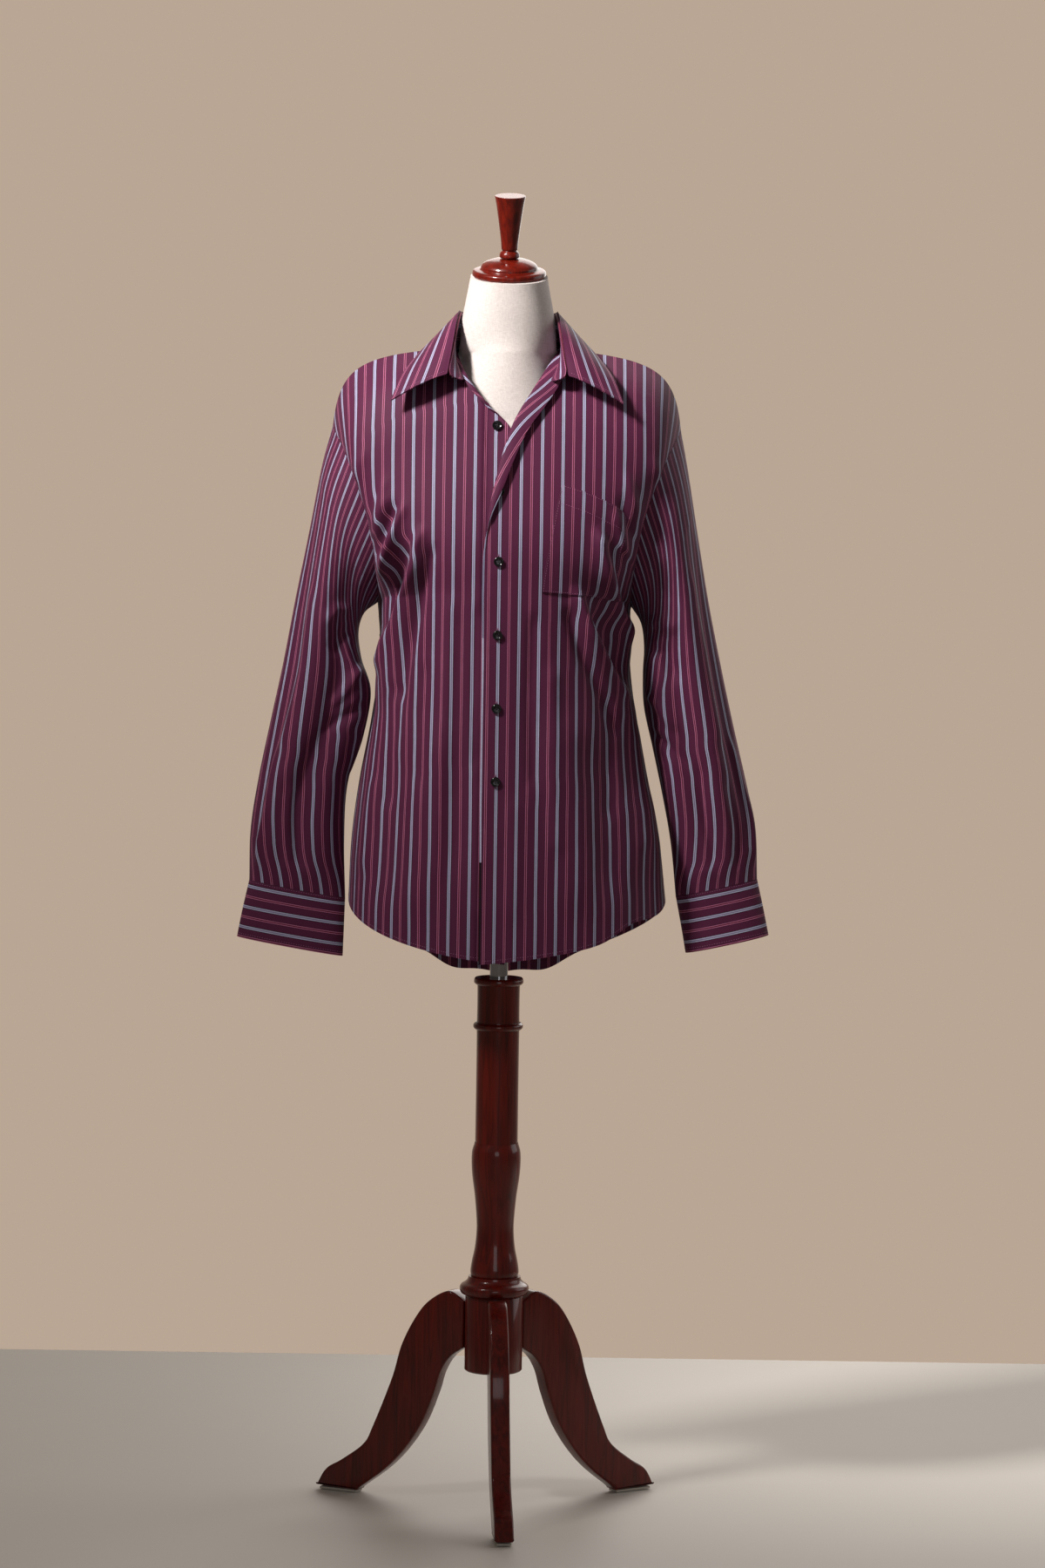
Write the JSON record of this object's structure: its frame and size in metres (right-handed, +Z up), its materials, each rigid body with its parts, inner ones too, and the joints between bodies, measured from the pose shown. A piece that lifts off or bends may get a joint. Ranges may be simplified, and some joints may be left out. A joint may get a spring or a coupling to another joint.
{
  "type": "dress shirt on a limbless dress form",
  "caption": "Long-sleeved striped dress shirt with an open collar, worn on a limbless cloth-covered dress form on a turned tripod stand.",
  "frame": {"origin": "on the floor, under the middle of the part's box", "axes": "+Z up; the shirt faces -Y, so the wearer's left is +X"},
  "size_m": [0.6418, 0.374, 1.5892],
  "materials": {
    "shirt_cloth": "matte",
    "button": "gloss",
    "form_cloth": "matte",
    "wood": "gloss",
    "chrome": "gloss",
    "pad": "matte"
  },
  "bodies": {
    "stand": {"column": "wood", "base_ring": "wood", "hub": "wood", "height_screw": "chrome", "leg_1": "wood", "leg_2": "wood", "leg_3": "wood", "foot_pad_1": "pad", "foot_pad_2": "pad", "foot_pad_3": "pad"},
    "form": {"form_torso": "form_cloth", "form_base": "wood", "neck_cap": "wood", "finial": "wood", "pole": "chrome", "right_front": "shirt_cloth", "left_front": "shirt_cloth", "back": "shirt_cloth", "yoke": "shirt_cloth", "collar_stand": "shirt_cloth", "collar_leaf": "shirt_cloth", "pocket": "shirt_cloth", "right_sleeve": "shirt_cloth", "right_sleeve_placket": "shirt_cloth", "right_cuff": "shirt_cloth", "left_sleeve": "shirt_cloth", "left_sleeve_placket": "shirt_cloth", "left_cuff": "shirt_cloth", "button_1": "button", "button_2": "button", "button_3": "button", "button_4": "button", "button_5": "button", "button_6": "button", "right_cuff_button": "button", "left_cuff_button": "button"}
  },
  "joints": [
    {"name": "height_slide", "type": "slide", "parent": "stand", "child": "form", "axis": [0, 0, 1], "range_m": [-0.05, 0.2]}
  ]
}
